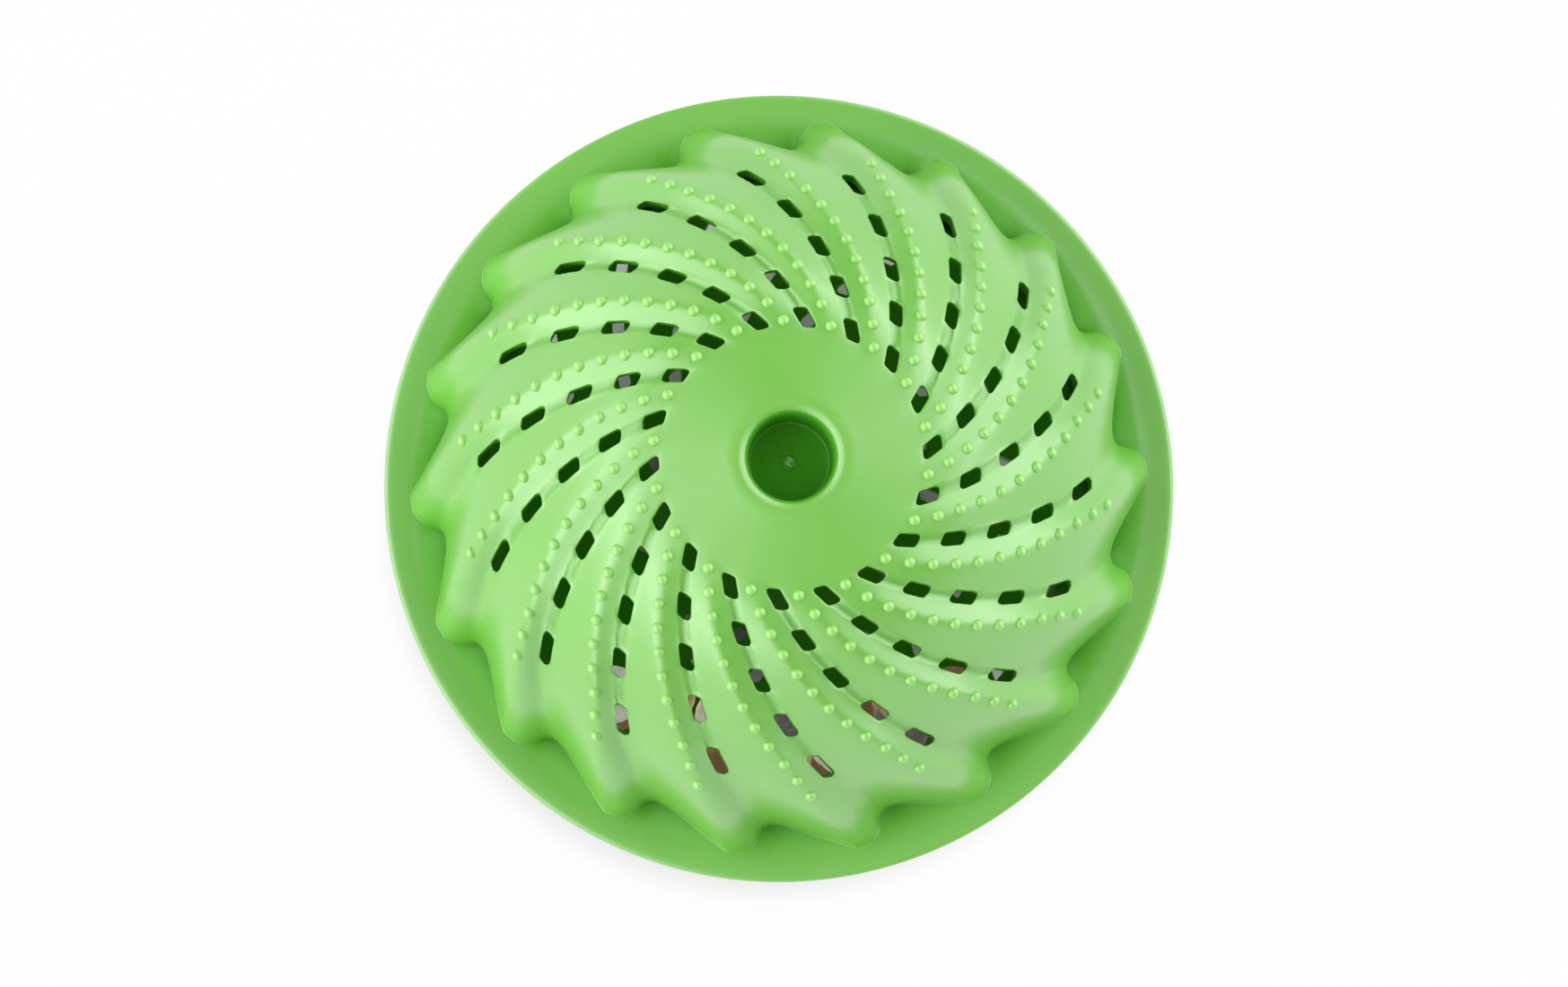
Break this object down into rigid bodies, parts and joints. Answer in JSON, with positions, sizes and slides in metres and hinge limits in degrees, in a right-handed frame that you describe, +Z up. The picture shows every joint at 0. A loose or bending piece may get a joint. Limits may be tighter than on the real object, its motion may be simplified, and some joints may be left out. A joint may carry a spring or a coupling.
{
  "type": "laundry ball",
  "caption": "Hollow fluted laundry ball of two slotted half shells that twist together at a flanged equator, holding disc magnets and loose ceramic pellets.",
  "frame": {"origin": "centre of the ball, on its axis and midway between the two hub faces", "axes": "+Z up along the ball's axis from the lower hub to the upper hub; +X and +Y lie in the flange's plane"},
  "size_m": [0.11, 0.11, 0.1],
  "materials": {
    "shell_green": "satin moulded polyolefin",
    "cap_green": "satin moulded polyolefin",
    "magnet": "ground ferrite",
    "pellet_grey": "unglazed",
    "pellet_terracotta": "unglazed",
    "pellet_tan": "unglazed",
    "pellet_white": "unglazed"
  },
  "bodies": {
    "lower_half": {"lower_shell": "shell_green", "lower_magnet": "magnet", "lower_magnet_cap": "cap_green"},
    "lift": {"upper_magnet": "magnet"},
    "upper_half": {"upper_shell": "shell_green", "upper_magnet_cap": "cap_green"},
    "pellet_charge": {"grey_pellet_01": "pellet_grey", "grey_pellet_02": "pellet_grey", "grey_pellet_03": "pellet_grey", "grey_pellet_04": "pellet_grey", "grey_pellet_05": "pellet_grey", "grey_pellet_06": "pellet_grey", "grey_pellet_07": "pellet_grey", "grey_pellet_08": "pellet_grey", "grey_pellet_09": "pellet_grey", "grey_pellet_10": "pellet_grey", "terracotta_pellet_01": "pellet_terracotta", "terracotta_pellet_02": "pellet_terracotta", "terracotta_pellet_03": "pellet_terracotta", "terracotta_pellet_04": "pellet_terracotta", "terracotta_pellet_05": "pellet_terracotta", "terracotta_pellet_06": "pellet_terracotta", "terracotta_pellet_07": "pellet_terracotta", "terracotta_pellet_08": "pellet_terracotta", "terracotta_pellet_09": "pellet_terracotta", "terracotta_pellet_10": "pellet_terracotta", "tan_pellet_01": "pellet_tan", "tan_pellet_02": "pellet_tan", "tan_pellet_03": "pellet_tan", "tan_pellet_04": "pellet_tan", "tan_pellet_05": "pellet_tan", "tan_pellet_06": "pellet_tan", "tan_pellet_07": "pellet_tan", "tan_pellet_08": "pellet_tan", "tan_pellet_09": "pellet_tan", "tan_pellet_10": "pellet_tan", "white_pellet_01": "pellet_white", "white_pellet_02": "pellet_white", "white_pellet_03": "pellet_white", "white_pellet_04": "pellet_white", "white_pellet_05": "pellet_white", "white_pellet_06": "pellet_white", "white_pellet_07": "pellet_white", "white_pellet_08": "pellet_white", "white_pellet_09": "pellet_white"}
  },
  "joints": [
    {"name": "cap_rise", "type": "slide", "parent": "lower_half", "child": "lift", "axis": [0, 0, 1], "range_m": [0, 0.004]},
    {"name": "cap_twist", "type": "hinge", "parent": "lift", "child": "upper_half", "pos_m": [0, 0, 0], "axis": [0, 0, 1], "range_deg": [0, 60]},
    {"name": "pellet_swirl", "type": "hinge", "parent": "lower_half", "child": "pellet_charge", "pos_m": [0, 0, 0], "axis": [0, 0, 1], "continuous": true}
  ],
  "couplings": [
    {"joint": "cap_rise", "follows": "cap_twist", "m_per_rad": 0.003819}
  ]
}
